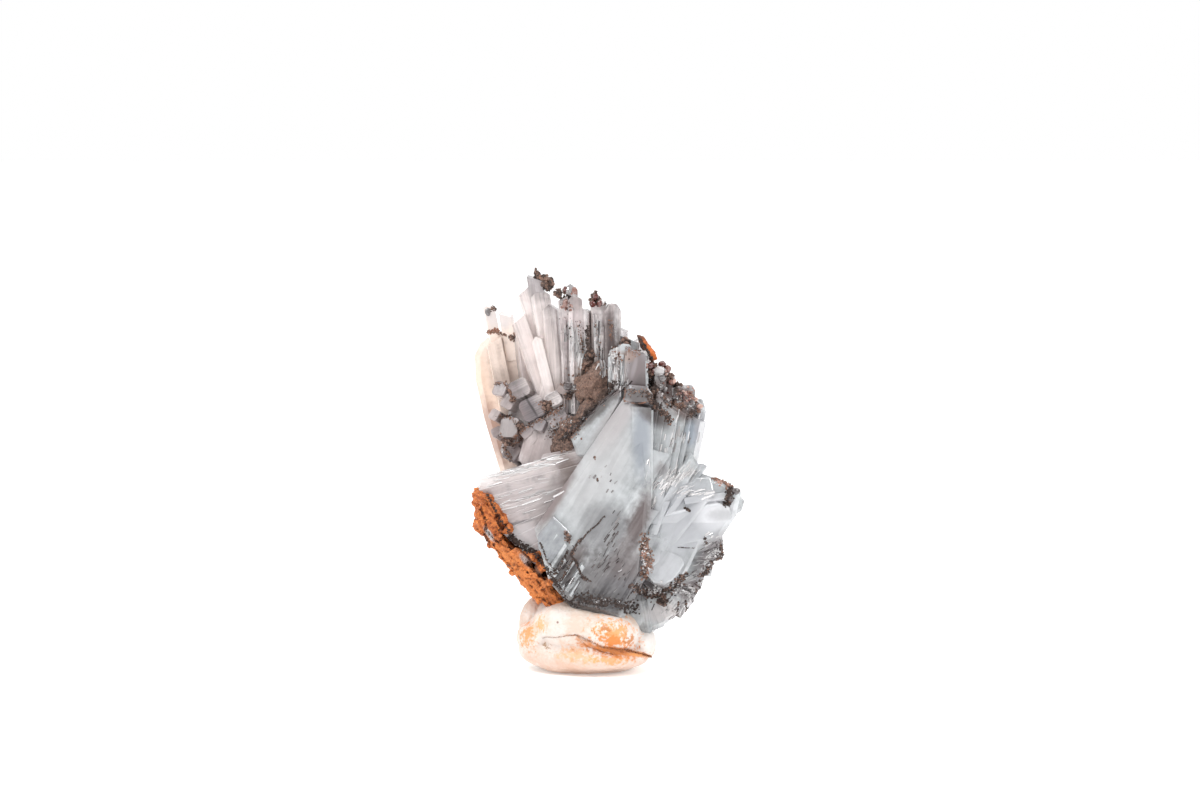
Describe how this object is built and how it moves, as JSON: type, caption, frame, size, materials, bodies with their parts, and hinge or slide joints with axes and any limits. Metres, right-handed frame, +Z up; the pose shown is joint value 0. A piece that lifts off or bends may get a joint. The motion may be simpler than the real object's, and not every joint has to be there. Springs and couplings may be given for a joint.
{
  "type": "barite crystal specimen",
  "caption": "Upright cluster of pale blue, white and clear barite blades with brown oxide and an orange limonite crust, set in a lump of putty.",
  "frame": {"origin": "on the surface it stands on, under the middle of the putty lump", "axes": "+X to the right of the display side, +Y away from the display side, +Z up, along the specimen's height"},
  "size_m": [0.0343, 0.0225, 0.0504],
  "materials": {
    "pale_barite": "glassy, pale blue grey, see-through to milky",
    "clear_barite": "glassy, colourless to smoky, see-through",
    "white_barite": "silky, milky white, finely striated",
    "cream_barite": "waxy, cream, milky",
    "iron_oxide": "earthy, dark brown, granular",
    "limonite": "earthy, bright orange, bark-like",
    "putty": "soft, cream, kneaded, rust stained"
  },
  "bodies": {
    "root": {"front_blades": "pale_barite", "back_blades": "clear_barite", "left_blades": "white_barite", "cream_blade": "cream_barite", "oxide_seam": "iron_oxide", "limonite_crust": "limonite", "limonite_splinter": "limonite", "putty_base": "putty"}
  },
  "joints": []
}
